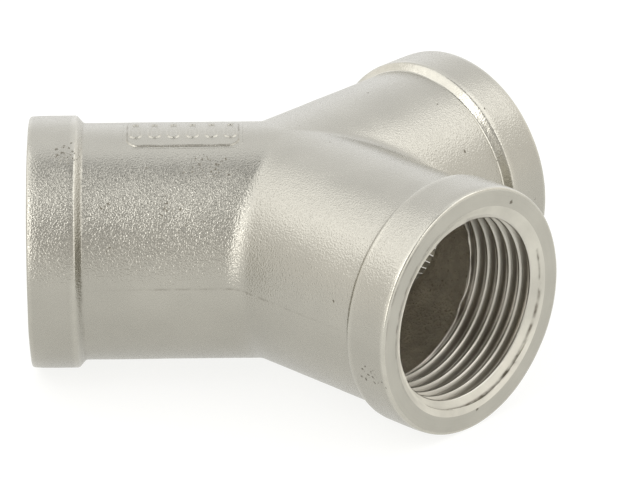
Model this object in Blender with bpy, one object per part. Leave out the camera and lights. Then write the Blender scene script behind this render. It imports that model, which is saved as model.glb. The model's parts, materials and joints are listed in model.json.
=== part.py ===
"""Y fitting: one investment casting with an inlet, two branches and three tapped ports.

Metres, +Z up. The three bores lie in one level plane and meet at the junction centre. The
inlet points along -X and the branches leave towards +X, one to each side. The fitting lies
on its three end bands, and the origin is at the middle of its box, on that surface.

Every arm is one spun wall section: body, shoulder, band, end face, countersunk mouth, tapped
bore and cast waterway. Equal round arms whose axes meet in a point join along upright planes,
so each section's two open ends stop on those planes. A strip rolled by a ball then joins
neighbouring arms, outside as the valleys of the casting and inside as the waterway's edges.
"""

import math
from collections import namedtuple

import bmesh
import bpy
from mathutils import Matrix, Vector

# Lengths and directions of the arms
INLET_LENGTH = 0.03275
BRANCH_LENGTH = 0.0325
BRANCH_ANGLE = math.radians(45.0)

# Bore, from the mouth inwards
TAP_RADIUS = 0.01206
TAP_DEPTH = 0.0116
MOUTH_FLARE = 0.00174
MOUTH_DEPTH = 0.0010
RELIEF_STEP = 0.00064
RELIEF_RUN = 0.0006

# Skin of the casting
WALL = 0.00255
BAND_STEP = 0.0010
BAND_WIDTH = 0.00605
SHOULDER_RUN = 0.00085
SHOULDER_ROUND = 0.00065
ROOT_ROUND = 0.0006
EDGE_ROUND = 0.0004

# Radii of the balls that roll along the valleys outside and the edges inside
VALLEY_BALL = 0.0045
CORE_BALL = 0.0043

# Fineness: parts in a full turn, and the turn that one facet of an arc takes
TURN_PARTS = 64
ARC_FACET = math.radians(11.25)
CORNER_FACET = math.radians(22.5)
WELD_DISTANCE = 1e-6
SHARP_ANGLE = math.radians(28.0)

# Sizes that follow from the ones above
WATERWAY_RADIUS = TAP_RADIUS + RELIEF_STEP
BODY_RADIUS = WATERWAY_RADIUS + WALL
BAND_RADIUS = BODY_RADIUS + BAND_STEP
MOUTH_RADIUS = TAP_RADIUS + MOUTH_FLARE

STEEL_COLOUR = (0.50, 0.48, 0.43, 1.0)
STEEL_ROUGHNESS = 0.42

Arm = namedtuple("Arm", "length heading")
Skin = namedtuple("Skin", "radius ball")
Seam = namedtuple("Seam", "heading half_angle")


def rounded_outline(corners):
    """Points of an open outline of (along, out, corner radius), with each corner as an arc."""
    points = [Vector(corners[0][:2])]
    for before, corner, after in zip(corners, corners[1:], corners[2:]):
        at = Vector(corner[:2])
        points.extend(corner_arc(Vector(before[:2]), at, Vector(after[:2]), corner[2]))
    points.append(Vector(corners[-1][:2]))
    return points


def corner_arc(before, at, after, radius):
    """The corner itself, or the arc that touches both of its sides."""
    if radius == 0.0:
        return [at]
    back = (before - at).normalized()
    on = (after - at).normalized()
    turn = math.pi - back.angle(on)
    start = at + back * radius * math.tan(turn / 2)
    centre = at + (back + on).normalized() * radius / math.cos(turn / 2)
    side = math.copysign(1.0, on.cross(back))
    steps = max(2, round(turn / CORNER_FACET))
    spoke = start - centre
    return [centre + Matrix.Rotation(side * turn * step / steps, 2) @ spoke for step in range(steps + 1)]


def wall_section(length):
    """Half section of one arm, (distance from the junction, radius), from outside to inside."""
    shoulder = length - BAND_WIDTH
    tap_end = length - TAP_DEPTH
    return rounded_outline([
        (0.0, BODY_RADIUS, 0.0),
        (shoulder - SHOULDER_RUN, BODY_RADIUS, ROOT_ROUND),
        (shoulder, BAND_RADIUS, SHOULDER_ROUND),
        (length, BAND_RADIUS, EDGE_ROUND),
        (length, MOUTH_RADIUS, 0.0),
        (length - MOUTH_DEPTH, TAP_RADIUS, 0.0),
        (tap_end, TAP_RADIUS, 0.0),
        (tap_end - RELIEF_RUN, WATERWAY_RADIUS, 0.0),
        (0.0, WATERWAY_RADIUS, 0.0),
    ])


def seams_between(arms):
    """The upright half planes in which each arm meets the next one round."""
    seams = []
    for arm, following in zip(arms, arms[1:] + arms[:1]):
        gap = (following.heading - arm.heading) % math.tau
        seams.append(Seam(arm.heading + gap / 2, gap / 2))
    return seams


def fitting_ball(ball, radius, plain_lengths, seams):
    """The ball, or the largest one that still touches plain pipe on every arm."""
    tightest = min(seam.half_angle for seam in seams)
    return min(ball, min(plain_lengths) * math.tan(tightest) - radius)


def add_arm(mesh, arm, skins, side_angles):
    """Spin one arm's wall along +X, stop its open ends short of both seams and turn it."""
    section = [mesh.verts.new((along, 0.0, out)) for along, out in wall_section(arm.length)]
    sides = [mesh.edges.new(pair) for pair in zip(section, section[1:])]
    before = set(mesh.verts) - set(section)
    bmesh.ops.spin(
        mesh, geom=section + sides, cent=(0.0, 0.0, 0.0), axis=(1.0, 0.0, 0.0),
        angle=math.tau, steps=TURN_PARTS, use_merge=True)
    verts = [vert for vert in mesh.verts if vert not in before]
    left_angle, right_angle = side_angles
    for vert in verts:
        if abs(vert.co.x) > WELD_DISTANCE:
            continue
        skin = min(skins, key=lambda one: abs(one.radius - vert.co.yz.length))
        half_angle = left_angle if vert.co.y > 0.0 else right_angle
        sideways = abs(vert.co.y) / skin.radius
        vert.co.x = (skin.radius + skin.ball) * sideways / math.tan(half_angle)
    bmesh.ops.rotate(mesh, verts=verts, matrix=Matrix.Rotation(arm.heading, 3, 'Z'))


def add_seam_strip(mesh, seam, skin):
    """The concave strip that the skin's ball leaves between two arms, from top to bottom."""
    turn = Matrix.Rotation(seam.heading, 3, 'Z')
    facets = round((math.pi - 2 * seam.half_angle) / ARC_FACET)
    reach = skin.radius + skin.ball
    rows = []
    for part in range(TURN_PARTS // 2 + 1):
        angle = math.tau * part / TURN_PARTS
        sideways = math.sin(angle)
        centre = Vector((reach * sideways / math.sin(seam.half_angle), 0.0, reach * math.cos(angle)))
        middle = Vector((math.sin(seam.half_angle) * sideways, 0.0, math.cos(angle))).normalized()
        spread = math.asin(math.cos(seam.half_angle) * sideways)
        row = []
        for facet in range(facets + 1):
            swing = spread * (2 * facet / facets - 1)
            spoke = middle * math.cos(swing) + Vector((0.0, math.sin(swing), 0.0))
            row.append(mesh.verts.new(turn @ (centre - skin.ball * spoke)))
        rows.append(row)
    for row, lower in zip(rows, rows[1:]):
        for facet in range(facets):
            mesh.faces.new((row[facet], row[facet + 1], lower[facet + 1], lower[facet]))


def casting_mesh(name):
    """The whole casting as one closed mesh, with the junction centre at the mesh's origin."""
    arms = [
        Arm(BRANCH_LENGTH, -BRANCH_ANGLE),
        Arm(BRANCH_LENGTH, BRANCH_ANGLE),
        Arm(INLET_LENGTH, math.pi),
    ]
    seams = seams_between(arms)
    plain_outside = [arm.length - BAND_WIDTH - SHOULDER_RUN - ROOT_ROUND for arm in arms]
    plain_inside = [arm.length - TAP_DEPTH - RELIEF_RUN for arm in arms]
    skins = [
        Skin(BODY_RADIUS, fitting_ball(VALLEY_BALL, BODY_RADIUS, plain_outside, seams)),
        Skin(WATERWAY_RADIUS, fitting_ball(CORE_BALL, WATERWAY_RADIUS, plain_inside, seams)),
    ]
    mesh = bmesh.new()
    for index, arm in enumerate(arms):
        add_arm(mesh, arm, skins, (seams[index].half_angle, seams[index - 1].half_angle))
    for seam in seams:
        for skin in skins:
            add_seam_strip(mesh, seam, skin)
    bmesh.ops.remove_doubles(mesh, verts=mesh.verts, dist=WELD_DISTANCE)
    bmesh.ops.recalc_face_normals(mesh, faces=mesh.faces)
    data = bpy.data.meshes.new(name)
    mesh.to_mesh(data)
    mesh.free()
    data.shade_smooth()
    data.set_sharp_from_angle(angle=SHARP_ANGLE)
    return data


def junction_place():
    """Where the junction centre lies once the fitting's box is centred and stands at zero."""
    along = (BRANCH_LENGTH - EDGE_ROUND) * math.cos(BRANCH_ANGLE)
    across = (BAND_RADIUS - EDGE_ROUND) * math.sin(BRANCH_ANGLE)
    branch_reach = along + across + EDGE_ROUND
    return Vector(((INLET_LENGTH - branch_reach) / 2, 0.0, BAND_RADIUS))


def steel_material():
    """Blasted cast stainless steel, a warm pale grey."""
    material = bpy.data.materials.new("cast_stainless")
    material.use_nodes = True
    shader = material.node_tree.nodes["Principled BSDF"]
    shader.inputs["Base Color"].default_value = STEEL_COLOUR
    shader.inputs["Metallic"].default_value = 1.0
    shader.inputs["Roughness"].default_value = STEEL_ROUGHNESS
    return material


def main():
    for obj in list(bpy.data.objects):
        bpy.data.objects.remove(obj)
    data = casting_mesh("fitting_body")
    data.materials.append(steel_material())
    body = bpy.data.objects.new("fitting_body", data)
    body.location = junction_place()
    bpy.context.scene.collection.objects.link(body)


main()
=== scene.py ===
"""Y fitting in cast stainless steel: threads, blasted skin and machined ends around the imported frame.

Metres, +Z up, in the frame's own place. The casting is built again, finer than its solid: each
arm is a grid of rows and columns wrapped round the arm's axis, the three grids meet in rolled
strips, and each tapped bore is a grid sheared along its helix.
"""

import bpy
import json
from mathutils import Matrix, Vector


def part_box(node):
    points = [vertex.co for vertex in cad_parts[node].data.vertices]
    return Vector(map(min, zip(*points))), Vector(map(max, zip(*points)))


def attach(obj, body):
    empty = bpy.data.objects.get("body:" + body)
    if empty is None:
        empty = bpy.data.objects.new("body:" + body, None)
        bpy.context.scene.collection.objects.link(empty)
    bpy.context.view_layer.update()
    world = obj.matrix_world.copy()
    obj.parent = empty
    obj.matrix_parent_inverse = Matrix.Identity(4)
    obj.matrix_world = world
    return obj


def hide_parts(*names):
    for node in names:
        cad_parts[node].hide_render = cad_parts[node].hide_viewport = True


bl_info = {
    "name": "Cast Y Fitting",
    "version": (1, 0, 0),
    "blender": (4, 5, 0),
    "location": "View3D > Sidebar > Fitting",
    "description": "Builds a cast stainless Y fitting with cut threads, and a plain studio round it",
    "category": "Object",
}

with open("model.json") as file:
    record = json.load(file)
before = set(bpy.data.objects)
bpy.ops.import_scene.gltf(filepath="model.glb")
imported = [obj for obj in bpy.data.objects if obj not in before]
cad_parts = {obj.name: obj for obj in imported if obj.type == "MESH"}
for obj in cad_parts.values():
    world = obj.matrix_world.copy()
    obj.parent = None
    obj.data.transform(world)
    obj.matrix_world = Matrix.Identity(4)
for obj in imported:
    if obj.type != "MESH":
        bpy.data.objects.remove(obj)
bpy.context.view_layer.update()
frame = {"record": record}

import json
import math
from collections import namedtuple

import bmesh
import bpy
from bpy.props import FloatProperty, FloatVectorProperty, IntProperty, PointerProperty
from mathutils import Matrix, Vector, noise

NODE = "fitting_body"
MM_PER_METRE = 1000.0

# Places read from the frame
MOUNTS = {mount["name"]: mount for mount in frame["record"]["mounts"]}
INLET_FACE = Vector(MOUNTS["inlet_face"]["pos_m"])
BRANCH_FACE = Vector(MOUNTS["branch_b_face"]["pos_m"])
BRANCH_WAY = Vector(MOUNTS["branch_b_face"]["axis"])
BAND_RADIUS = (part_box(NODE)[1].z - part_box(NODE)[0].z) / 2
BRANCH_ANGLE = math.atan2(BRANCH_WAY.y, BRANCH_WAY.x)
BRANCH_LENGTH = BRANCH_FACE.y / math.sin(BRANCH_ANGLE)
JUNCTION = Vector((BRANCH_FACE.x - BRANCH_LENGTH * math.cos(BRANCH_ANGLE), 0.0, BAND_RADIUS))
INLET_LENGTH = JUNCTION.x - INLET_FACE.x

# Fineness of the mesh, and its sharp edges
WELD_DISTANCE = 1e-6
ARC_FACET = math.radians(12.0)
STRIP_FACET = math.radians(7.5)
BAND_PARTS = 7
FACE_PARTS = 5
WATERWAY_PARTS = 10
SHARP_ANGLE = math.radians(25.0)

# Radius of the ball that eases a band into its outer edge
EASE_BALL = 0.012

# Angles from the crown: where painted shade darkens an end face's outer edge, and where a mouth gets a
# painted highlight at its lip and painted shade at its outer edge
EDGE_SHADE_ANGLE = math.radians(305.0)
LIP_LIGHT_AND_SHADE_ANGLE = math.radians(290.0)

# Turns of a bore's grid that belong to the mouth, and those of them out to the bottom of the
# thread's outermost cut. The grid begins two turns before the thread's first crest
MOUTH_TURNS = 1.87
OUTER_WALL_TURNS = 1.6

# Share of a mouth's depth past which its lip gets a painted highlight
LIP_SHARE = 0.4

# Fineness of the random forms at a bore's inner edge: its wander, its burr and its patches of painted
# highlight
WANDER_SCALES = (3.0, 11.0)
BURR_SCALE = 7.0
BRIGHT_SCALE = 5.0

# Where the skin's coarseness changes, (start, run): by the upward part of its normal towards the
# crown and from below, and by the place along the inlet's line
CROWN_RISE = (0.78, 0.16)
SIDE_RISE = (-0.3, 0.6)
INLET_RISE = (0.001, -0.006)

# Height of the point that the pad's rim closes on, as a share of the body's radius
PAD_HUB_SHARE = 0.955

# Pitted patches of the skin, (middle from the junction, reach), and the pitting elsewhere
PITTED_PATCHES = [
    ((-0.0114, -0.0075, 0.0133), 0.0009),
    ((-0.0085, -0.0074, 0.0133), 0.0012),
    ((-0.0042, -0.0068, 0.0137), 0.0008),
    ((-0.0104, -0.0059, 0.0141), 0.0008),
    ((-0.0231, -0.0116, 0.0098), 0.0008),
    ((-0.0149, -0.0118, 0.0097), 0.0008),
    ((-0.0132, -0.0132, 0.0076), 0.0008),
    ((-0.0118, -0.0135, 0.0071), 0.0008),
    ((-0.0225, -0.0143, 0.0053), 0.0009),
    ((-0.0274, -0.0066, 0.0149), 0.0012),
    ((-0.0283, -0.0061, 0.0151), 0.0010),
    ((0.0095, -0.0316, -0.0047), 0.0009),
    ((0.0106, -0.0329, -0.0040), 0.0010),
]
PITTING_EVERYWHERE = 0.0015

# Tones of the surroundings by how far to either side they lie: dim in front, brightest at each quarter
HORIZON_TONES = [(0.20, 0.68), (0.46, 1.20), (0.75, 1.34), (0.97, 1.05)]
FRONT_SKY_TONES = [(0.12, 0.34), (0.42, 0.56)]
LEFT_TINT = (1.08, 1.06, 1.03, 1.0)
RIGHT_TINT = (1.0, 0.98, 0.95, 1.0)
BEHIND = (1.31, 1.32, 1.35, 1.0)
SKY_BEHIND = (1.28, 1.29, 1.32, 1.0)
SKY_LEFT_BEHIND = (0.86, 0.87, 0.89, 1.0)
WHITE = (1.0, 1.0, 1.0, 1.0)
FRONT_MIDDLE = 0.04

# The floor, and its glow to the camera and in the steel
FLOOR_REACH = 3.0
FLOOR_GLOW = (1.0, 1.0, 0.985, 1.0)
FLOOR_SEEN = 0.83
FLOOR_MIRRORED = 0.77

# Lamps: azimuth from the camera's side towards +X and elevation in degrees, size and glow
LAMP_DISTANCE = 0.7
LAMPS = {
    "left_softbox": (-76.0, 57.0, (0.90, 0.60), 1.06),
    "right_softbox": (80.0, 57.0, (0.90, 0.50), 1.10),
    "left_strip": (-36.0, 28.0, (0.12, 0.78), 2.9),
    "right_strip": (46.0, 30.0, (0.13, 0.70), 0.7),
}

# Zones of the casting, which are also its material slots
SKIN, FACE, MOUTH, THREAD, WATERWAY = range(5)

Arm = namedtuple("Arm", "length heading port")
Port = namedtuple("Port", "thread_start edge_wear slope_wear foot_wear foot_grime")
Seam = namedtuple("Seam", "heading half_angle")
Point = namedtuple("Point", "along radius zone wear grime", defaults=(0.0, 0.0))

# How each port is finished: the depth of its thread's first crest at the crown, how far the edge of its
# band is rubbed and lit by a painted highlight, how far painted light brightens the slope behind the band
# and its foot, and how much painted shade darkens the foot
NEAR_PORT = Port(0.00069, edge_wear=1.0, slope_wear=0.0, foot_wear=0.0, foot_grime=0.3)
# The far arm's slope and its foot are brightened with painted light.
FAR_PORT = Port(0.00092, edge_wear=0.8, slope_wear=0.7, foot_wear=1.0, foot_grime=0.0)
INLET_PORT = Port(0.00075, edge_wear=0.4, slope_wear=0.0, foot_wear=0.0, foot_grime=0.3)
SHOULDER_WEAR = 0.55


def length(name, default, text):
    """A length property in metres."""
    return FloatProperty(name=name, default=default, description=text, unit='LENGTH', precision=5)


def colour(name, default, text):
    """A colour property."""
    return FloatVectorProperty(
        name=name, default=default, description=text, subtype='COLOR', size=3, min=0.0, max=1.0)


class FittingSizes(bpy.types.PropertyGroup):
    """Sizes of the casting, and how finely it is divided."""

    inlet: length("Inlet length", INLET_LENGTH, "From the junction centre to the inlet's face")
    branch: length("Branch length", BRANCH_LENGTH, "From the junction centre to each branch's face")
    angle: FloatProperty(
        name="Branch angle", default=BRANCH_ANGLE, subtype='ANGLE',
        description="How far each branch turns away from the inlet's line")
    band_radius: length("Band radius", BAND_RADIUS, "Outer radius of the end bands")
    band_step: length("Band step", 0.0010, "How far a band stands out from the body")
    band_width: length("Band width", 0.00605, "Width of a band without its shoulder")
    shoulder_run: length("Shoulder run", 0.00085, "Length of the slope behind a band")
    shoulder_round: length("Shoulder round", 0.0005, "Radius at the top of the slope")
    root_round: length("Root round", 0.0005, "Radius at the foot of the slope")
    edge_round: length("Edge round", 0.00034, "Radius of the band's outer edge")
    ease: length("Ease", 0.00011, "How far a band falls away towards its outer edge")
    ease_run: length("Ease run", 0.0012, "Distance from the outer edge at which it falls away")
    mouth_flare: length("Mouth flare", 0.00174, "How much wider the mouth is than the tapped bore")
    mouth_depth: length("Mouth depth", 0.0008, "Depth of the countersink")
    tap_radius: length("Tap radius", 0.01206, "Radius of the bore that the thread is cut in")
    tap_depth: length("Tap depth", 0.0116, "Depth of the tapped bore from the end face")
    relief_step: length("Relief step", 0.00064, "How much wider the cast waterway is")
    relief_run: length("Relief run", 0.0003, "Length of the step down to the waterway")
    valley_ball: length("Valley ball", 0.0045, "Radius of the valleys between the arms")
    core_ball: length("Core ball", 0.0040, "Radius of the edges where the waterways meet")
    columns: IntProperty(name="Columns", default=152, description="Parts in a full turn of an arm")
    body_rows: IntProperty(name="Body rows", default=22, description="Rows along the body of an arm")


class ThreadSizes(bpy.types.PropertyGroup):
    """Sizes of the cut thread."""

    pitch: length("Pitch", 0.0018143, "Distance from one turn to the next")
    height: length("Height", 0.0011617, "Depth of the thread from crest to root")
    flank: FloatProperty(
        name="Flank angle", default=math.radians(27.5), subtype='ANGLE',
        description="Lean of each flank from square")
    crest_corner: length("Crest corner", 0.00006, "Half length of the blend at each crest's corner")
    root_corner: length("Root corner", 0.00015, "Half length of the blend at each root's corner")
    lead: length("Lead", 0.0016, "Length past the tapped bore over which the groove fades out")
    ragged: length("Ragged end", 0.00030, "How far the bore's inner edge wanders")
    burr: length("Burr", 0.00035, "Greatest height of the ragged lip at the bore's inner edge")
    rows: IntProperty(name="Rows", default=16, description="Rows in one pitch")
    crowding: FloatProperty(
        name="Crowding", default=0.5, description="How much closer the rows stand at the crests")


class SkinUnevenness(bpy.types.PropertyGroup):
    """How far the cast skin strays from its true form."""

    swell_size: length("Swell size", 0.006, "Distance between the broad swells")
    swell: length("Swell", 0.000035, "Height of the broad swells")
    ripple_size: length("Ripple size", 0.0016, "Distance between the small ripples")
    ripple: length("Ripple", 0.000012, "Height of the small ripples")
    parting: length("Parting line", 0.00002, "Depth of the line left where the die halves met")
    parting_reach: length("Parting reach", 0.0185, "How far from the junction the parting line shows")


class PadSizes(bpy.types.PropertyGroup):
    """Sizes of the raised pad on top of the inlet."""

    middle: length("Middle", -0.0130, "Place of the pad's middle along the inlet, from the junction")
    reach: length("Length", 0.0145, "Length of the pad")
    width: length("Width", 0.0078, "Width of the pad round the body")
    corner: length("Corner", 0.0016, "Radius of the pad's corners")
    height: length("Height", 0.00015, "Height of the pad over the body")
    edge: length("Edge", 0.00020, "Width of the pad's steep edge")
    trench: length("Trench", 0.00009, "Depth of the fine line round the pad")
    ring_width: length("Ring width", 0.0016, "Width of each raised ring")
    ring_length: length("Ring length", 0.0044, "Length of each raised ring, round the body")
    ring_stroke: length("Ring stroke", 0.00045, "Thickness of the rings' line")
    ring_height: length("Ring height", 0.00015, "Height of each ring over the pad")
    rings: IntProperty(name="Rings", default=6, description="Number of raised rings")
    cell: length("Cell", 0.000075, "Size of the pad's facets")


class SteelLook(bpy.types.PropertyGroup):
    """Colours of the steel."""

    skin: colour("Cast skin", (0.43, 0.415, 0.365), "Blasted skin of the casting")
    machined: colour("Machined", (0.46, 0.445, 0.39), "Faced ends and mouths")
    # Lighter than the machined faces: painted sheen on the countersinks.
    mouth: colour("Mouth", (0.62, 0.60, 0.53), "Countersunk mouths")
    thread: colour("Thread", (0.54, 0.52, 0.46), "Cut thread")
    waterway: colour("Waterway", (0.46, 0.42, 0.34), "Unblasted skin inside")
    # Mixed in by how deep a point lies in a thread's groove: oily residue, and painted shade deeper in the
    # grooves.
    residue: colour("Residue", (0.40, 0.355, 0.29), "Oily residue in the thread's grooves")
    # This dark is also the colour of the painted shade in creases and along edges.
    speck: colour("Specks", (0.10, 0.085, 0.06), "Small pits in the skin")


class StudioSettings(bpy.types.PropertyGroup):
    """Camera, lamps and surroundings."""

    lens: FloatProperty(
        name="Lens", default=273.1, unit='CAMERA', description="Focal length on a 36 mm sensor")
    distance: length("Distance", 0.62648, "From the camera to the point that it looks at")
    azimuth: FloatProperty(
        name="Azimuth", default=math.radians(0.974), subtype='ANGLE',
        description="Turn of the view from +Y towards +X")
    elevation: FloatProperty(
        name="Elevation", default=math.radians(24.065), subtype='ANGLE',
        description="How far the camera looks down")
    roll: FloatProperty(
        name="Roll", default=math.radians(-0.227), subtype='ANGLE', description="Tilt of the camera")
    aim: FloatVectorProperty(
        name="Aim", default=(0.00445, -0.00013, -0.00012), subtype='TRANSLATION', size=3,
        description="The point that the camera looks at, from the junction centre")
    floor: colour("Floor", (0.18, 0.18, 0.177), "The floor's own colour")


def rounded_outline(corners, facet):
    """Points of an open outline of (along, out, corner radius), with each corner as an arc."""
    points = [Vector(corners[0][:2])]
    for before, corner, after in zip(corners, corners[1:], corners[2:]):
        at = Vector(corner[:2])
        points.extend(corner_arc(Vector(before[:2]), at, Vector(after[:2]), corner[2], facet))
    points.append(Vector(corners[-1][:2]))
    return points


def corner_arc(before, at, after, radius, facet):
    """The corner itself, or the arc that touches both of its sides."""
    if radius == 0.0:
        return [at]
    back = (before - at).normalized()
    on = (after - at).normalized()
    turn = math.pi - back.angle(on)
    centre = at + (back + on).normalized() * radius / math.cos(turn / 2)
    spoke = at + back * radius * math.tan(turn / 2) - centre
    side = math.copysign(turn, on.cross(back))
    steps = max(3, round(turn / facet))
    return [centre + Matrix.Rotation(side * step / steps, 2) @ spoke for step in range(steps + 1)]


def between(start, end, steps):
    """Evenly spaced values strictly between two."""
    return [start + (end - start) * step / steps for step in range(1, steps)]


def ring_angles(sizes):
    """Angles of the columns from the crown, with one more close to either side of the parting plane."""
    angles = {round(math.tau * column / sizes.columns, 6) for column in range(sizes.columns)}
    ridge = math.radians(0.9)
    for side in (math.tau / 4, 3 * math.tau / 4):
        angles |= {round(side - ridge, 6), round(side + ridge, 6)}
    return sorted(angles)


def seams_between(arms):
    """The upright half planes in which each arm meets the next one round."""
    seams = []
    for arm, following in zip(arms, arms[1:] + arms[:1]):
        gap = (following.heading - arm.heading) % math.tau
        seams.append(Seam(arm.heading + gap / 2, gap / 2))
    return seams


def seam_reach(radius, ball, angle, side_angles):
    """How far from the junction an arm of this radius meets the rolled strip."""
    sideways = math.sin(angle)
    half_angle = side_angles[0] if sideways > 0.0 else side_angles[1]
    return (radius + ball) * abs(sideways) / math.tan(half_angle)


def soft_ramp(value, blend):
    """Zero below zero and rising evenly above it, with a rounded corner between."""
    if value <= -blend:
        return 0.0
    if value >= blend:
        return value
    return (value + blend) ** 2 / (4 * blend)


def smooth_rise(share):
    """From nothing to one, level at both ends."""
    share = min(1.0, max(0.0, share))
    return share * share * (3 - 2 * share)


def rise_over(value, start, run):
    """From nothing at a start to one after a run, level at both ends."""
    return smooth_rise((value - start) / run)


def lip_light_and_shade(angle):
    """How strong a mouth's painted highlight at its lip and painted shade at its outer edge are, at an
    angle from the crown.
    """
    return max(0.0, math.cos(angle - LIP_LIGHT_AND_SHADE_ANGLE)) ** 2


def mouth_radius(sizes, depth):
    """Radius of the countersink at a depth from the end face."""
    return sizes.tap_radius + sizes.mouth_flare * (1.0 - depth / sizes.mouth_depth)


def bore_radius(sizes, thread, depth, angle, start):
    """Radius of a tapped port at a depth from its face: the widest of its cuts."""
    mouth = mouth_radius(sizes, depth)
    spot = Vector((math.cos(angle), math.sin(angle), start))
    broad, fine = (noise.noise(spot * scale) for scale in WANDER_SCALES)
    end = sizes.tap_depth + thread.ragged * (broad + 0.5 * fine)
    beside = max(0.0, 1.0 - abs(depth - end) / sizes.relief_run)
    burr = thread.burr * beside * max(0.0, noise.noise(spot * BURR_SCALE + spot.yzx))
    relief = (depth - end) / sizes.relief_run
    relief = sizes.tap_radius + sizes.relief_step * min(1.0, max(0.0, relief))
    turn = (depth - start) / thread.pitch - angle / math.tau
    from_crest = abs(turn - round(turn)) * thread.pitch
    slope = 1.0 / math.tan(thread.flank)
    flank = thread.height / slope
    crest = (thread.pitch / 2 - flank) / 2
    down = soft_ramp(from_crest - crest, thread.crest_corner)
    bottom = soft_ramp(from_crest - crest - flank, thread.root_corner)
    fade = min(1.0, max(0.0, (end + thread.lead - depth) / thread.lead))
    groove = sizes.tap_radius + min((down - bottom) * slope, thread.height * fade)
    return max(mouth, relief, groove) - burr


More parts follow.
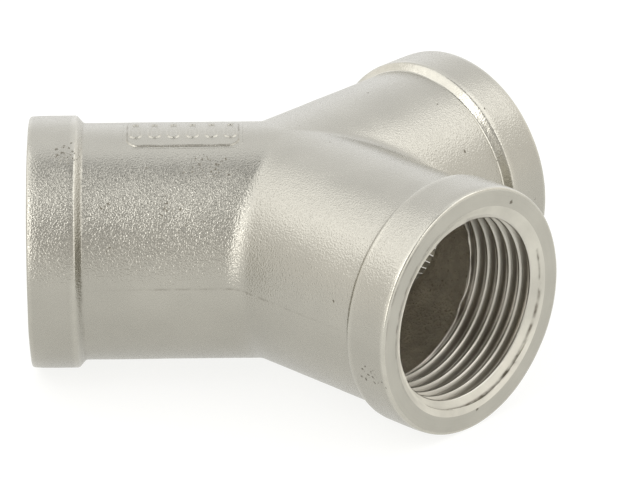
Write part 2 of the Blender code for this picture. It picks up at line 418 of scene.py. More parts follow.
class ArmGrid:
    """One arm, as a grid round +X that is turned to its heading once it is built."""

    def __init__(self, mesh, arm, side_angles, settings):
        self.mesh = mesh
        self.arm = arm
        self.side_angles = side_angles
        self.sizes = settings.fitting_sizes
        self.thread = settings.fitting_thread
        self.angles = ring_angles(self.sizes)
        self.turn = Matrix.Rotation(arm.heading, 3, 'Z')
        self.zone = mesh.verts.layers.int["zone"]
        self.wear = mesh.verts.layers.float["edge_wear"]
        self.grime = mesh.verts.layers.float["grime"]
        self.ring = mesh.verts.layers.float["ring"]
        self.lay = mesh.verts.layers.float["lay"]

    def vert(self, point, angle):
        """A vertex of the arm, with what its finish needs to know."""
        local = Vector((point.along, point.radius * math.sin(angle), point.radius * math.cos(angle)))
        vert = self.mesh.verts.new(self.turn @ local)
        vert[self.zone] = point.zone
        vert[self.wear] = point.wear
        vert[self.grime] = point.grime
        vert[self.ring] = point.radius * MM_PER_METRE
        vert[self.lay] = (self.arm.length - point.along) / self.thread.pitch - angle / math.tau
        return vert

    def row(self, point_at):
        """A closed row of vertices from a rule that gives the point at each angle."""
        return [self.vert(point_at(angle), angle) for angle in self.angles]

    def join(self, rows, zone):
        """Faces between following rows."""
        for row, after in zip(rows, rows[1:]):
            for near in range(len(row)):
                far = (near + 1) % len(row)
                face = self.mesh.faces.new((row[near], row[far], after[far], after[near]))
                face.material_index = zone

    def outer_rows(self):
        """Rows of the cast skin, from the junction to the end face's outer edge."""
        sizes = self.sizes
        band = sizes.band_radius
        body = band - sizes.band_step
        shoulder = self.arm.length - sizes.band_width
        outline = rounded_outline([
            (0.0, body, 0.0),
            (shoulder - sizes.shoulder_run, body, sizes.root_round),
            (shoulder - sizes.shoulder_run / 2, band - sizes.band_step / 2, 0.0),
            (shoulder, band, sizes.shoulder_round),
            (self.arm.length - sizes.ease_run, band, EASE_BALL),
            (self.arm.length, band - sizes.ease, sizes.edge_round),
            (self.arm.length, self.face_edge(), 0.0),
        ], ARC_FACET)[1:]
        foot = outline[0].x
        rows = []
        for step in range(sizes.body_rows):
            share = step / sizes.body_rows

            def body_point(angle, share=share):
                start = seam_reach(body, sizes.valley_ball, angle, self.side_angles)
                return Point(start + (foot - start) * share, body, SKIN)

            rows.append(self.row(body_point))
        for before, at in zip([None] + outline, outline):
            if before and at.x - before.x > sizes.band_width / 2:
                for along in between(before.x, at.x, BAND_PARTS):
                    rows.append(self.row(lambda angle, along=along: Point(along, band, SKIN)))
            finish = self.edge_finish_at(at, shoulder)
            rows.append(self.row(lambda angle, at=at, finish=finish: Point(at.x, at.y, SKIN, *finish)))
        # Painted shade along the end face's outer edge, strongest at one angle.
        for vert, angle in zip(rows[-1], self.angles):
            vert[self.grime] = max(0.0, math.cos(angle - EDGE_SHADE_ANGLE)) ** 6
        return rows

    def edge_finish_at(self, at, shoulder):
        """Rubbing with painted light, and painted shade, at a point of the outline, by its place on the
        band's edge, shoulder and slope.
        """
        sizes, port = self.sizes, self.arm.port
        foot = shoulder - sizes.shoulder_run
        if self.arm.length - at.x < sizes.edge_round:
            return port.edge_wear, 0.0
        if abs(at.x - shoulder) < sizes.shoulder_round / 2:
            return SHOULDER_WEAR, 0.0
        if abs(at.x - foot) < sizes.root_round / 4:
            return port.foot_wear, port.foot_grime
        if foot < at.x < shoulder:
            return port.slope_wear, 0.0
        return 0.0, 0.0

    def face_edge(self):
        """Radius at which the end face meets the band's rounded edge."""
        return self.sizes.band_radius - self.sizes.ease - self.sizes.edge_round

    def face_rows(self):
        """Rows of the machined end ring between its outer edge and the mouth."""
        return [
            self.row(lambda angle, out=out: Point(self.arm.length, out, FACE))
            for out in between(self.face_edge(), self.mouth_edge(), FACE_PARTS)]

    def mouth_edge(self):
        """Radius at which the end face stops."""
        return self.sizes.tap_radius + self.sizes.mouth_flare

    def first_crest_step(self):
        """The grid step just before the middle of the thread's first crest."""
        return round(MOUTH_TURNS * self.thread.rows)

    def bore(self):
        """The mouth, thread and relief as a grid whose rows climb with the thread. Returns its end rows."""
        sizes, thread, arm = self.sizes, self.thread, self.arm
        end = sizes.tap_depth + thread.lead
        lip = self.mouth_edge()
        # The mouth's outer edge gets painted shade, strongest at one angle.
        first = self.row(lambda angle: Point(arm.length, lip, MOUTH, grime=lip_light_and_shade(angle)))
        relief = sizes.tap_radius + sizes.relief_step
        last = self.row(lambda angle: Point(arm.length - end, relief, WATERWAY))
        base = arm.port.thread_start - 2 * thread.pitch
        count = math.ceil(thread.rows * (end - base) / thread.pitch)
        made = {}

        def at(column, step):
            if column == len(self.angles):
                return at(0, step + thread.rows)
            angle = self.angles[column]
            turns = step / thread.rows
            turns -= thread.crowding * math.sin(math.tau * turns) / math.tau
            depth = base + thread.pitch * (turns + angle / math.tau)
            if depth <= thread.pitch / thread.rows / 2:
                return first[column]
            if depth >= end - thread.pitch / thread.rows / 2:
                return last[column]
            if (column, step) not in made:
                radius = bore_radius(sizes, thread, depth, angle, arm.port.thread_start)
                # How deep a point lies in the thread's groove, which sets the residue and painted shade in
                # the grooves.
                groove = min(1.0, max(0.0, (radius - sizes.tap_radius) / thread.height))
                zone = THREAD if depth < sizes.tap_depth + sizes.relief_run else WATERWAY
                if step < self.first_crest_step():
                    zone = MOUTH
                    # In the mouth, painted shade along the outer wall of the thread's outermost cut.
                    open_cut = radius - mouth_radius(sizes, depth)
                    outer_wall = step < OUTER_WALL_TURNS * thread.rows
                    groove = 1.0 if outer_wall and open_cut > WELD_DISTANCE else 0.0
                wear = self.bore_highlight(zone, depth, angle)
                point = Point(arm.length - depth, radius, zone, wear, groove)
                made[column, step] = self.vert(point, angle)
            return made[column, step]

        for column in range(len(self.angles)):
            for step in range(count + thread.rows):
                near = (at(column, step), at(column + 1, step))
                far = (at(column + 1, step + 1), at(column, step + 1))
                loop = list(dict.fromkeys(near + far))
                if len(loop) < 3:
                    continue
                face = self.mesh.faces.new(loop)
                zones = {corner[self.zone] for corner in loop}
                face.material_index = zones.pop() if len(zones) == 1 else THREAD
        return first, last

    def bore_highlight(self, zone, depth, angle):
        """A painted highlight on one side of the mouth's lip, and patches of painted highlight at the
        bore's inner edge.
        """
        if zone == MOUTH:
            return lip_light_and_shade(angle) if depth > self.sizes.mouth_depth * LIP_SHARE else 0.0
        patch = noise.noise(Vector((math.cos(angle), math.sin(angle), self.arm.length)) * BRIGHT_SCALE)
        from_edge = abs(depth - self.sizes.tap_depth) / self.sizes.relief_run
        return max(0.0, 1.0 - from_edge) * smooth_rise(0.5 + 2 * patch)

    def waterway_rows(self):
        """Rows of the cast waterway, from the thread's end to the junction."""
        sizes = self.sizes
        radius = sizes.tap_radius + sizes.relief_step
        start = self.arm.length - sizes.tap_depth - self.thread.lead
        rows = []
        for step in range(1, WATERWAY_PARTS + 1):

            def point(angle, share=step / WATERWAY_PARTS):
                reach = seam_reach(radius, sizes.core_ball, angle, self.side_angles)
                return Point(start + (reach - start) * share, radius, WATERWAY)

            rows.append(self.row(point))
        return rows

    def build(self):
        """The whole arm, from its outer end row to its inner one."""
        outer = self.outer_rows()
        self.join(outer, SKIN)
        first, last = self.bore()
        self.join([outer[-1]] + self.face_rows() + [first], FACE)
        self.join([last] + self.waterway_rows(), WATERWAY)


def add_seam_strip(mesh, seam, radius, ball, angles, zone):
    """The concave strip that a rolling ball leaves between two arms, from top to bottom."""
    turn = Matrix.Rotation(seam.heading, 3, 'Z')
    facets = max(4, round((math.pi - 2 * seam.half_angle) / STRIP_FACET))
    reach = radius + ball
    zone_layer = mesh.verts.layers.int["zone"]
    rows = []
    for angle in [angle for angle in angles if angle < math.pi + WELD_DISTANCE]:
        sideways = math.sin(angle)
        centre = Vector((reach * sideways / math.sin(seam.half_angle), 0.0, reach * math.cos(angle)))
        middle = Vector((math.sin(seam.half_angle) * sideways, 0.0, math.cos(angle))).normalized()
        spread = math.asin(math.cos(seam.half_angle) * sideways)
        row = []
        for facet in range(facets + 1):
            swing = spread * (2 * facet / facets - 1)
            spoke = middle * math.cos(swing) + Vector((0.0, math.sin(swing), 0.0))
            vert = mesh.verts.new(turn @ (centre - ball * spoke))
            vert[zone_layer] = zone
            row.append(vert)
        rows.append(row)
    for row, lower in zip(rows, rows[1:]):
        for facet in range(facets):
            face = mesh.faces.new((row[facet], row[facet + 1], lower[facet + 1], lower[facet]))
            face.material_index = zone


def uneven(place, skin):
    """How far the cast skin stands off its true form at a place."""
    swell = noise.noise(place / skin.swell_size) * skin.swell
    return swell + noise.noise(place / skin.ripple_size + Vector((7.0, 3.0, 5.0))) * skin.ripple


def pitting_at(place):
    """How crowded the pits are at a place: thin everywhere, thick round each pitted patch."""
    crowd = PITTING_EVERYWHERE
    for middle, reach in PITTED_PATCHES:
        crowd += math.exp(-((place - Vector(middle)).length / reach) ** 2)
    return min(1.0, crowd)


def coarseness(vert):
    """How coarse the skin is: most on the inlet's sides, less on the branches, fine on top and below."""
    below_crown = 1.0 - rise_over(vert.normal.z, *CROWN_RISE)
    above_underside = rise_over(vert.normal.z, *SIDE_RISE)
    inlet = rise_over(vert.co.x, *INLET_RISE)
    return below_crown * above_underside * (0.5 + 0.5 * inlet)


def roughen(mesh, skin):
    """Move the cast skin in and out, and mark its coarseness, its pits and the painted shade along its
    parting line.
    """
    zone = mesh.verts.layers.int["zone"]
    grime = mesh.verts.layers.float["grime"]
    pitting = mesh.verts.layers.float["pitting"]
    coarse = mesh.verts.layers.float["coarse"]
    mesh.normal_update()
    moves = []
    for vert in mesh.verts:
        if vert[zone] not in (SKIN, WATERWAY):
            continue
        lift = uneven(vert.co, skin)
        if vert[zone] == SKIN:
            vert[pitting] = pitting_at(vert.co)
            vert[coarse] = coarseness(vert)
            if abs(vert.co.z) < WELD_DISTANCE:
                near = skin.parting_reach / max(skin.parting_reach, vert.co.xy.length)
                left = near ** 5 * (0.9 + noise.noise(vert.co / skin.swell_size * 1.7))
                lift -= skin.parting * left
                # Painted shade along the parting line, fading away from the junction.
                vert[grime] = max(0.0, min(1.0, left))
        moves.append((vert, vert.normal * lift))
    for vert, move in moves:
        vert.co += move


def linked(name, data):
    """An object in the scene for a mesh, a lamp or a camera."""
    thing = bpy.data.objects.new(name, data)
    bpy.context.scene.collection.objects.link(thing)
    return thing


def piece_from(mesh, name, materials):
    """An object in the frame's place that rides on the one body, smooth apart from its marked edges."""
    data = bpy.data.meshes.new(name)
    mesh.to_mesh(data)
    mesh.free()
    data.transform(Matrix.Translation(JUNCTION))
    for material in materials:
        data.materials.append(material)
    data.shade_smooth()
    piece = linked(name, data)
    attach(piece, "root")
    return piece


class Nodes:
    """Short words for building one node tree."""

    def __init__(self, tree):
        self.tree = tree

    def add(self, kind, **settings):
        """A node with its settings."""
        node = self.tree.nodes.new(kind)
        for key, value in settings.items():
            setattr(node, key, value)
        return node

    def feed(self, socket, value):
        """Link a socket, or set its plain value."""
        if isinstance(value, bpy.types.NodeSocket):
            self.tree.links.new(value, socket)
        else:
            socket.default_value = value

    def math(self, operation, first, second=0.0, clamp=False):
        """The result of one operation on two values."""
        node = self.add("ShaderNodeMath", operation=operation, use_clamp=clamp)
        self.feed(node.inputs[0], first)
        self.feed(node.inputs[1], second)
        return node.outputs[0]

    def times(self, first, second, clamp=False):
        """The product of two values."""
        return self.math('MULTIPLY', first, second, clamp)

    def noise(self, vector, scale, detail=2.0, roughness=0.5, output="Fac"):
        """Smooth noise, as a value between nothing and one or as a colour."""
        node = self.add("ShaderNodeTexNoise")
        self.feed(node.inputs["Vector"], vector)
        self.feed(node.inputs["Scale"], scale)
        self.feed(node.inputs["Detail"], detail)
        self.feed(node.inputs["Roughness"], roughness)
        return node.outputs[output]

    def span(self, value, low, high, to_low=0.0, to_high=1.0):
        """A value taken evenly from one range to another and held at its ends."""
        node = self.add("ShaderNodeMapRange", clamp=True)
        for socket, given in zip(node.inputs, (value, low, high, to_low, to_high)):
            self.feed(socket, given)
        return node.outputs[0]

    def ramp(self, value, stops):
        """A grey that runs through (place, tone) stops."""
        node = self.add("ShaderNodeValToRGB")
        elements = node.color_ramp.elements
        while len(elements) < len(stops):
            elements.new(0.5)
        for element, (place, tone) in zip(elements, stops):
            element.position = place
            element.color = (tone, tone, tone, 1.0)
        self.feed(node.inputs[0], value)
        return node.outputs[0]

    def mix(self, share, first, second, blend='MIX'):
        """A blend of two colours."""
        node = self.add("ShaderNodeMix", data_type='RGBA', blend_type=blend)
        self.feed(node.inputs[0], share)
        self.feed(node.inputs[6], first)
        self.feed(node.inputs[7], second)
        return node.outputs[2]

    def mask(self, name):
        """A value that the mesh carries at its points."""
        return self.add("ShaderNodeAttribute", attribute_name=name).outputs["Fac"]

    def place(self):
        """The place on the object."""
        return self.add("ShaderNodeTexCoord").outputs["Object"]


def new_group(name, inputs, outputs):
    """An empty shader group with named value sockets, and its nodes."""
    tree = bpy.data.node_groups.new(name, "ShaderNodeTree")
    for label, default in inputs.items():
        socket = tree.interface.new_socket(label, in_out='INPUT', socket_type='NodeSocketFloat')
        socket.default_value = default
    for label in outputs:
        tree.interface.new_socket(label, in_out='OUTPUT', socket_type='NodeSocketFloat')
    nodes = Nodes(tree)
    return tree, nodes, nodes.add("NodeGroupInput"), nodes.add("NodeGroupOutput")


def blasted_grain_group():
    """Grain of a blasted casting: a height, and a fine value for colour and roughness."""
    tree, nodes, given, result = new_group(
        "Blasted grain", {"Grains per metre": 3000.0, "Waves per metre": 700.0}, ["Height", "Grain"])
    place = nodes.place()
    fine = nodes.noise(place, given.outputs["Grains per metre"], 1.0)
    broad = nodes.noise(place, given.outputs["Waves per metre"])
    height = nodes.math('ADD', fine, nodes.times(broad, 0.15))
    nodes.feed(result.inputs["Height"], height)
    nodes.feed(result.inputs["Grain"], nodes.span(fine, 0.3, 0.7))
    return tree


def mottle_group():
    """Slow stains of the steel: one value that wanders over centimetres and millimetres."""
    tree, nodes, given, result = new_group("Steel mottle", {"Patches per metre": 120.0}, ["Mottle"])
    value = nodes.noise(nodes.place(), given.outputs["Patches per metre"], 4.0, 0.55)
    nodes.feed(result.inputs["Mottle"], nodes.span(value, 0.3, 0.7))
    return tree


def specks_group():
    """Small ragged pits, as crowded as the given share says: full in a pit and nothing outside."""
    tree, nodes, given, result = new_group(
        "Casting specks", {"Cells per metre": 1500.0, "Share": 0.1, "Size": 0.3}, ["Speck"])
    place = nodes.place()
    shift = nodes.add("ShaderNodeVectorMath", operation='SCALE')
    nodes.feed(shift.inputs[0], nodes.noise(place, 2600.0, output="Color"))
    nodes.feed(shift.inputs["Scale"], 0.0006)
    moved = nodes.add("ShaderNodeVectorMath", operation='ADD')
    nodes.feed(moved.inputs[0], place)
    nodes.feed(moved.inputs[1], shift.outputs[0])
    cells = nodes.add("ShaderNodeTexVoronoi", feature='F1')
    nodes.feed(cells.inputs["Vector"], moved.outputs[0])
    nodes.feed(cells.inputs["Scale"], given.outputs["Cells per metre"])
    pick = nodes.add("ShaderNodeSeparateColor")
    nodes.feed(pick.inputs[0], cells.outputs["Color"])
    chosen = nodes.math('LESS_THAN', pick.outputs[0], given.outputs["Share"])
    size = nodes.times(given.outputs["Size"], nodes.math('ADD', pick.outputs[1], 0.5))
    inside = nodes.math('SUBTRACT', 1.0, nodes.math('DIVIDE', cells.outputs["Distance"], size), clamp=True)
    nodes.feed(result.inputs["Speck"], nodes.times(chosen, nodes.span(inside, 0.0, 0.5)))
    return tree


def crease_shade_group():
    """Painted shade in a crease: the mesh's own crease mask, broken into dashes."""
    tree, nodes, given, result = new_group(
        "Crease grime", {"Breaks per metre": 700.0, "Narrowness": 3.0}, ["Grime"])
    mask = nodes.mask("grime")
    narrow = nodes.math('POWER', mask, given.outputs["Narrowness"])
    broken = nodes.span(nodes.noise(nodes.place(), given.outputs["Breaks per metre"]), 0.35, 0.6)
    nodes.feed(result.inputs["Grime"], nodes.times(narrow, broken, clamp=True))
    return tree


def rubbing_and_highlight_group():
    """Rubbed edges and painted highlights: the mesh's own mask for both, broken up by the grain."""
    tree, nodes, given, result = new_group(
        "Edge wear", {"Amount": 1.0, "Breaks per metre": 900.0}, ["Wear"])
    mask = nodes.mask("edge_wear")
    grain = nodes.noise(nodes.place(), given.outputs["Breaks per metre"], 3.0)
    broken = nodes.span(grain, 0.35, 0.65, 0.7, 1.0)
    wear = nodes.times(nodes.times(mask, broken), given.outputs["Amount"], clamp=True)
    nodes.feed(result.inputs["Wear"], wear)
    return tree


def tool_marks_group():
    """Fine rings left by a turning tool, from the mesh's own distance across the cut."""
    tree, nodes, given, result = new_group("Tool marks", {"Across": 0.0, "Marks": 12.0}, ["Marks"])
    line = nodes.add("ShaderNodeCombineXYZ")
    nodes.feed(line.inputs[0], nodes.times(given.outputs["Across"], given.outputs["Marks"]))
    wobble = nodes.noise(nodes.place(), 150.0)
    nodes.feed(line.inputs[1], nodes.times(wobble, 1.5))
    value = nodes.noise(line.outputs[0], 1.0, 3.0, 0.7)
    nodes.feed(result.inputs["Marks"], nodes.span(value, 0.3, 0.7))
    return tree


GROUP_MAKERS = {
    "grain": blasted_grain_group,
    "mottle": mottle_group,
    "specks": specks_group,
    "wear": rubbing_and_highlight_group,
    "grime": crease_shade_group,
    "marks": tool_marks_group,
}


def steel_groups():
    """All the shared effects, built once."""
    return {name: maker() for name, maker in GROUP_MAKERS.items()}


def place_group(nodes, tree, **inputs):
    """Put a shared effect into a material, with its own values."""
    node = nodes.add("ShaderNodeGroup", node_tree=tree)
    for label, value in inputs.items():
        nodes.feed(node.inputs[label.replace("_", " ")], value)
    return node.outputs


def rgba(value, factor=1.0):
    """A colour property as four numbers, made lighter or darker."""
    return tuple(min(1.0, channel * factor) for channel in value) + (1.0,)


def metal(name):
    """A fresh material, its nodes and its shader."""
    material = bpy.data.materials.new(name)
    material.use_nodes = True
    shader = material.node_tree.nodes["Principled BSDF"]
    shader.inputs["Metallic"].default_value = 1.0
    return material, Nodes(material.node_tree), shader


def dress(nodes, shader, base, rough, height, distance):
    """A shader's colour, roughness and relief, from a height of about nothing to one over a distance."""
    nodes.feed(shader.inputs["Base Color"], base)
    nodes.feed(shader.inputs["Roughness"], rough)
    node = nodes.add("ShaderNodeBump")
    node.inputs["Strength"].default_value = 1.0
    node.inputs["Distance"].default_value = distance
    nodes.feed(node.inputs["Height"], height)
    nodes.feed(shader.inputs["Normal"], node.outputs[0])


def cast_skin(look, groups):
    """Blasted outside of the casting."""
    material, nodes, shader = metal("cast_skin")
    grain = place_group(nodes, groups["grain"], Grains_per_metre=4300.0, Waves_per_metre=1500.0)
    mottle = place_group(nodes, groups["mottle"], Patches_per_metre=110.0)["Mottle"]
    pitting = nodes.mask("pitting")
    speck = place_group(nodes, groups["specks"], Cells_per_metre=2100.0, Share=pitting, Size=0.4)["Speck"]
    wear = place_group(nodes, groups["wear"], Amount=0.85)["Wear"]
    grime = place_group(nodes, groups["grime"], Narrowness=1.1)["Grime"]
    # Pits, and painted shade in creases and along edges.
    dark = nodes.math('MAXIMUM', nodes.times(speck, 0.75), nodes.times(grime, 0.45))
    base = nodes.mix(mottle, rgba(look.skin, 0.95), rgba(look.skin, 1.05))
    base = nodes.mix(nodes.times(grain["Grain"], 0.12), base, rgba(look.skin, 1.18))
    # Rubbed edges lightened, partly real rubbing and partly painted highlight, and painted light on the far
    # arm's slope.
    base = nodes.mix(wear, base, rgba(look.machined, 1.25))
    base = nodes.mix(dark, base, rgba(look.speck))
    rough = nodes.span(grain["Grain"], 0.0, 1.0, 0.32, 0.22)
    rough = nodes.math('SUBTRACT', rough, nodes.times(wear, 0.12))
    rough = nodes.math('ADD', rough, nodes.times(dark, 0.3))
    coarse = nodes.mask("coarse")
    coarse = nodes.math('ADD', nodes.times(coarse, 0.65), nodes.span(mottle, 0.0, 1.0, 0.3, 0.6))
    unworn = nodes.times(coarse, nodes.math('SUBTRACT', 1.0, wear))
    height = nodes.math('SUBTRACT', nodes.times(grain["Height"], unworn), nodes.times(dark, 0.5))
    dress(nodes, shader, base, rough, height, 0.00008)
    return material


def machined_face(look, groups):
    """Faced end rings."""
    material, nodes, shader = metal("machined_face")
    ring = nodes.mask("ring")
    marks = place_group(nodes, groups["marks"], Across=ring, Marks=14.0)["Marks"]
    mottle = place_group(nodes, groups["mottle"], Patches_per_metre=160.0)["Mottle"]
    speck = place_group(nodes, groups["specks"], Cells_per_metre=1200.0, Share=0.02)["Speck"]
    # Painted shade at the face's outer edge and round the mouth.
    grime = place_group(nodes, groups["grime"], Narrowness=1.5)["Grime"]
    dark = nodes.math('MAXIMUM', speck, grime)
    base = nodes.mix(mottle, rgba(look.machined, 0.94), rgba(look.machined, 1.06))
    base = nodes.mix(nodes.times(marks, 0.3), base, rgba(look.machined, 1.18))
    base = nodes.mix(nodes.times(dark, 0.8), base, rgba(look.speck))
    dress(nodes, shader, base, nodes.span(marks, 0.0, 1.0, 0.40, 0.34), marks, 0.000006)
    return material


def mouth(look, groups):
    """Countersunk mouths in a lighter colour for painted sheen, with a painted highlight at the lip and
    painted shade along the thread's outermost cut.
    """
    material, nodes, shader = metal("countersunk_mouth")
    ring = nodes.mask("ring")
    marks = place_group(nodes, groups["marks"], Across=ring, Marks=9.0)["Marks"]
    mottle = place_group(nodes, groups["mottle"], Patches_per_metre=220.0)["Mottle"]
    grime = place_group(nodes, groups["grime"], Breaks_per_metre=500.0, Narrowness=2.4)["Grime"]
    base = nodes.mix(mottle, rgba(look.mouth, 0.88), rgba(look.mouth, 1.08))
    wear = place_group(nodes, groups["wear"], Amount=1.0)["Wear"]
    # Painted highlight at the lip.
    base = nodes.mix(wear, base, rgba(look.mouth, 1.55))
    # Painted shade at the mouth's outer edge and in the outermost cut.
    base = nodes.mix(nodes.times(grime, 0.9), base, rgba(look.speck))
    dress(nodes, shader, base, nodes.span(marks, 0.0, 1.0, 0.52, 0.44), marks, 0.000005)
    return material


def cut_thread(look, groups):
    """Tapped bore."""
    material, nodes, shader = metal("cut_thread")
    lay = nodes.mask("lay")
    marks = place_group(nodes, groups["marks"], Across=lay, Marks=22.0)["Marks"]
    grain = place_group(nodes, groups["grain"], Grains_per_metre=5000.0, Waves_per_metre=1500.0)
    mottle = place_group(nodes, groups["mottle"], Patches_per_metre=200.0)["Mottle"]
    base = nodes.mix(mottle, rgba(look.thread, 0.9), rgba(look.thread, 1.1))
    base = nodes.mix(nodes.times(marks, 0.3), base, rgba(look.thread, 1.2))
    # Residue and painted shade, darker deeper in each groove.
    groove = nodes.mask("grime")
    base = nodes.mix(nodes.times(groove, 0.5), base, rgba(look.residue))
    wear = place_group(nodes, groups["wear"], Amount=1.0)["Wear"]
    # Patches of painted highlight at the bore's inner edge.
    base = nodes.mix(wear, base, rgba(look.thread, 1.7))
    height = nodes.math('ADD', marks, nodes.times(grain["Height"], 0.5))
    dress(nodes, shader, base, nodes.span(marks, 0.0, 1.0, 0.36, 0.27), height, 0.000006)
    return material


def cast_waterway(look, groups):
    """Unblasted skin of the waterway, dull and brown."""
    material, nodes, shader = metal("cast_waterway")
    grain = place_group(nodes, groups["grain"], Grains_per_metre=3000.0, Waves_per_metre=900.0)
    mottle = place_group(nodes, groups["mottle"], Patches_per_metre=500.0)["Mottle"]
    speck = place_group(nodes, groups["specks"], Cells_per_metre=2600.0, Share=0.2, Size=0.35)["Speck"]
    base = nodes.mix(mottle, rgba(look.waterway, 0.84), rgba(look.waterway, 1.16))
    base = nodes.mix(nodes.times(speck, 0.4), base, rgba(look.speck))
    shader.inputs["Metallic"].default_value = 0.9
    rough = nodes.span(grain["Grain"], 0.0, 1.0, 0.75, 0.6)
    dress(nodes, shader, base, rough, grain["Height"], 0.00022)
    return material


def casting_mesh(scene):
    """The whole casting as one closed mesh, with the junction centre at its origin."""
    sizes = scene.fitting_sizes
    arms = [
        Arm(sizes.branch, -sizes.angle, NEAR_PORT),
        Arm(sizes.branch, sizes.angle, FAR_PORT),
        Arm(sizes.inlet, math.pi, INLET_PORT),
    ]
    seams = seams_between(arms)
    mesh = bmesh.new()
    mesh.verts.layers.int.new("zone")
    for label in ("edge_wear", "grime", "pitting", "coarse", "ring", "lay"):
        mesh.verts.layers.float.new(label)
    for index, arm in enumerate(arms):
        side_angles = (seams[index].half_angle, seams[index - 1].half_angle)
        ArmGrid(mesh, arm, side_angles, scene).build()
    body = sizes.band_radius - sizes.band_step
    waterway = sizes.tap_radius + sizes.relief_step
    angles = ring_angles(sizes)
    for seam in seams:
        add_seam_strip(mesh, seam, body, sizes.valley_ball, angles, SKIN)
        add_seam_strip(mesh, seam, waterway, sizes.core_ball, angles, WATERWAY)
    bmesh.ops.remove_doubles(mesh, verts=mesh.verts, dist=WELD_DISTANCE)
    bmesh.ops.recalc_face_normals(mesh, faces=mesh.faces)
    return mesh


def mark_edges(mesh):
    """Sharp edges round each mouth, and in it where it bends hard. All others are smooth."""
    for edge in mesh.edges:
        zones = {face.material_index for face in edge.link_faces}
        inside_mouth = len(zones) == 1 and edge.calc_face_angle(0.0) < SHARP_ANGLE
        edge.smooth = MOUTH not in zones or inside_mouth


class FITTING_OT_casting(bpy.types.Operator):
    """Build the casting with its three threaded ports"""

    bl_idname = "fitting.casting"
    bl_label = "Casting"

    def execute(self, context):
        scene = context.scene
        mesh = casting_mesh(scene)
        roughen(mesh, scene.fitting_skin)
        mark_edges(mesh)
        groups = steel_groups()
        makers = (cast_skin, machined_face, mouth, cut_thread, cast_waterway)
        materials = [maker(scene.fitting_look, groups) for maker in makers]
        piece = piece_from(mesh, "y_casting", materials)
        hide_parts(NODE)
        return {'FINISHED'}


def outside_box(along, around, half_length, half_width, corner):
    """Distance outside a rectangle with rounded corners, negative inside it."""
    over = Vector((abs(along) - half_length + corner, abs(around) - half_width + corner))
    return Vector((max(over.x, 0.0), max(over.y, 0.0))).length + min(max(over.x, over.y), 0.0) - corner


def pad_profile(pad, along, around):
    """Height of the pad at a place from its middle, and how much painted shade darkens the fine line round
    it there.
    """
    outside = outside_box(along, around, pad.reach / 2, pad.width / 2, pad.corner)
    if outside > 3 * pad.edge:
        return -pad.height / 2, 0.0
    height = smooth_rise(0.25 - outside / pad.edge) * pad.height
    height -= smooth_rise(1.0 - abs(outside / pad.edge - 0.6)) * pad.trench
    spacing = (pad.reach - pad.ring_width - 4 * pad.edge) / (pad.rings - 1)
    for ring in range(pad.rings):
        middle = (ring - (pad.rings - 1) / 2) * spacing
        half_width = pad.ring_width / 2
        beyond = outside_box(along - middle, around, half_width, pad.ring_length / 2, half_width)
        from_line = abs(beyond + pad.ring_stroke / 2) - pad.ring_stroke / 2
        height += smooth_rise(0.5 - from_line / pad.edge) * pad.ring_height
    return height, smooth_rise(1.0 - abs(outside / pad.edge + 0.7))


def close_underneath(mesh, hub):
    """Close an open sheet with a fan from its rim to a point inside the wall."""
    rim = [edge for edge in mesh.edges if edge.is_boundary]
    middle = mesh.verts.new(hub)
    for edge in rim:
        mesh.faces.new((edge.verts[0], edge.verts[1], middle))


def pad_mesh(pad, skin, body):
    """The pad as a fine sheet that follows the body's skin, closed underneath."""
    margin = 2 * pad.edge
    columns = round((pad.reach + 2 * margin) / pad.cell)
    rows = round((pad.width + 2 * margin) / pad.cell)
    mesh = bmesh.new()
    grime = mesh.verts.layers.float.new("grime")
    grid = []
    for row in range(rows + 1):
        around = (row / rows - 0.5) * (pad.width + 2 * margin)
        angle = around / body
        spoke = Vector((0.0, math.sin(angle), math.cos(angle)))
        line = []
        for column in range(columns + 1):
            along = (column / columns - 0.5) * (pad.reach + 2 * margin)
            place = Vector((pad.middle + along, 0.0, 0.0)) + spoke * body
            height, line_share = pad_profile(pad, along, around)
            vert = mesh.verts.new(place + spoke * (uneven(place, skin) + height))
            # Painted shade along the fine line round the pad.
            vert[grime] = line_share
            line.append(vert)
        grid.append(line)
    for row, after in zip(grid, grid[1:]):
        for near in range(columns):
            mesh.faces.new((row[near], row[near + 1], after[near + 1], after[near]))
    close_underneath(mesh, Vector((pad.middle, 0.0, body * PAD_HUB_SHARE)))
    bmesh.ops.recalc_face_normals(mesh, faces=mesh.faces)
    return mesh


class FITTING_OT_pad(bpy.types.Operator):
    """Build the raised oblong pad on the inlet, with a row of plain rings"""

    bl_idname = "fitting.pad"
    bl_label = "Pad"

    def execute(self, context):
        scene = context.scene
        body = scene.fitting_sizes.band_radius - scene.fitting_sizes.band_step
        mesh = pad_mesh(scene.fitting_pad, scene.fitting_skin, body)
        piece_from(mesh, "inlet_pad", [bpy.data.materials["cast_skin"]])
        return {'FINISHED'}


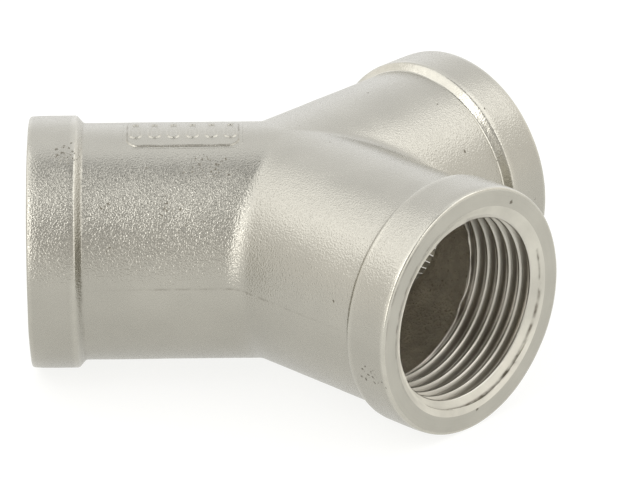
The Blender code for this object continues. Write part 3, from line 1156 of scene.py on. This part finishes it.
def studio_world():
    """Pale surroundings: dim in front, brighter at the sides and behind, and white to the camera."""
    world = bpy.data.worlds.new("studio")
    world.use_nodes = True
    nodes = Nodes(world.node_tree)
    background = world.node_tree.nodes["Background"]
    path = nodes.add("ShaderNodeLightPath")
    way = nodes.add("ShaderNodeSeparateXYZ")
    nodes.feed(way.inputs[0], nodes.add("ShaderNodeTexCoord").outputs["Generated"])
    sideways = nodes.math('ABSOLUTE', nodes.math('SUBTRACT', way.outputs["X"], FRONT_MIDDLE))
    tone = nodes.ramp(sideways, HORIZON_TONES)
    right_side = nodes.span(way.outputs["X"], -0.2, 0.2)
    tone = nodes.mix(1.0, tone, nodes.mix(right_side, LEFT_TINT, RIGHT_TINT), 'MULTIPLY')
    tone = nodes.mix(nodes.span(way.outputs["Y"], 0.6, 0.95), tone, BEHIND)
    front = nodes.ramp(sideways, FRONT_SKY_TONES)
    behind = nodes.mix(nodes.span(way.outputs["X"], -0.5, -0.15), SKY_LEFT_BEHIND, SKY_BEHIND)
    overhead = nodes.mix(nodes.span(way.outputs["Y"], 0.1, 0.45), front, behind)
    tone = nodes.mix(nodes.span(way.outputs["Z"], 0.35, 0.85), tone, overhead)
    seen = nodes.mix(path.outputs["Is Camera Ray"], tone, WHITE)
    nodes.feed(background.inputs["Color"], seen)
    background.inputs["Strength"].default_value = 1.0
    bpy.context.scene.world = world


def studio_floor(settings):
    """A pale floor that keeps the fitting's shadow and is white to the camera."""
    mesh = bmesh.new()
    bmesh.ops.create_grid(mesh, x_segments=1, y_segments=1, size=FLOOR_REACH)
    data = bpy.data.meshes.new("floor")
    mesh.to_mesh(data)
    mesh.free()
    floor = linked("floor", data)
    material = bpy.data.materials.new("floor_paper")
    material.use_nodes = True
    nodes = Nodes(material.node_tree)
    shader = material.node_tree.nodes["Principled BSDF"]
    fibre = nodes.noise(nodes.place(), 900.0, 3.0)
    tint = nodes.mix(nodes.span(fibre, 0.3, 0.7), rgba(settings.floor, 0.985), rgba(settings.floor))
    nodes.feed(shader.inputs["Base Color"], tint)
    shader.inputs["Roughness"].default_value = 0.9
    path = nodes.add("ShaderNodeLightPath")
    seen = nodes.times(path.outputs["Is Camera Ray"], FLOOR_SEEN)
    mirrored = nodes.times(path.outputs["Is Glossy Ray"], FLOOR_MIRRORED)
    shader.inputs["Emission Color"].default_value = FLOOR_GLOW
    nodes.feed(shader.inputs["Emission Strength"], nodes.math('MAXIMUM', seen, mirrored))
    data.materials.append(material)


def softbox(name, azimuth, elevation, size, glow):
    """A soft lamp turned to the fitting. Azimuth 0 is the camera's side and 90 is +X, in degrees."""
    turn, tilt = math.radians(azimuth), math.radians(elevation)
    way = Vector((math.sin(turn) * math.cos(tilt), -math.cos(turn) * math.cos(tilt), math.sin(tilt)))
    light = bpy.data.lights.new(name, 'AREA')
    light.shape = 'RECTANGLE'
    light.size, light.size_y = size
    light.energy = math.pi * light.size * light.size_y * glow
    lamp = linked(name, light)
    lamp.location = JUNCTION + way * LAMP_DISTANCE
    lamp.rotation_euler = way.to_track_quat('Z', 'Y').to_euler()


def studio_camera(settings):
    """The camera at the photograph's viewing angle."""
    turn, tilt = settings.azimuth, settings.elevation
    ahead = Vector((math.cos(tilt) * math.sin(turn), math.cos(tilt) * math.cos(turn), -math.sin(tilt)))
    level = Vector((math.cos(turn), -math.sin(turn), 0.0))
    upright = level.cross(ahead)
    right = level * math.cos(settings.roll) + upright * math.sin(settings.roll)
    up = right.cross(ahead)
    data = bpy.data.cameras.new("portrait")
    data.sensor_width = 36.0
    data.lens = settings.lens
    data.clip_start = 0.05
    camera = linked("portrait", data)
    axes = Matrix((right, up, -ahead)).transposed().to_4x4()
    spot = JUNCTION + Vector(settings.aim) - ahead * settings.distance
    camera.matrix_world = Matrix.Translation(spot) @ axes
    bpy.context.scene.camera = camera


class FITTING_OT_studio(bpy.types.Operator):
    """Set up the floor, the lamps, the surroundings and the camera"""

    bl_idname = "fitting.studio"
    bl_label = "Studio"

    def execute(self, context):
        scene = context.scene
        scene.view_settings.view_transform = 'Standard'
        studio_world()
        studio_floor(scene.fitting_studio)
        for name, lamp in LAMPS.items():
            softbox(name, *lamp)
        studio_camera(scene.fitting_studio)
        return {'FINISHED'}


STEPS = (FITTING_OT_casting, FITTING_OT_pad, FITTING_OT_studio)


class FITTING_PT_panel(bpy.types.Panel):
    """The steps that build the fitting and its studio."""

    bl_idname = "FITTING_PT_panel"
    bl_label = "Cast Y Fitting"
    bl_space_type = 'VIEW_3D'
    bl_region_type = 'UI'
    bl_category = "Fitting"

    def draw(self, context):
        for step in STEPS:
            self.layout.operator(step.bl_idname)


GROUPS = {
    "fitting_sizes": FittingSizes,
    "fitting_thread": ThreadSizes,
    "fitting_skin": SkinUnevenness,
    "fitting_pad": PadSizes,
    "fitting_look": SteelLook,
    "fitting_studio": StudioSettings,
}


def register():
    """Make the settings, the operators and the panel known."""
    for kind in (*GROUPS.values(), *STEPS, FITTING_PT_panel):
        bpy.utils.register_class(kind)
    for name, kind in GROUPS.items():
        setattr(bpy.types.Scene, name, PointerProperty(type=kind))


def unregister():
    """Take them all away again."""
    for name in GROUPS:
        delattr(bpy.types.Scene, name)
    for kind in (FITTING_PT_panel, *STEPS, *GROUPS.values()):
        bpy.utils.unregister_class(kind)


def main():
    """Build everything."""
    register()
    bpy.ops.fitting.casting()
    bpy.ops.fitting.pad()
    bpy.ops.fitting.studio()


if __name__ == "__main__":
    main()
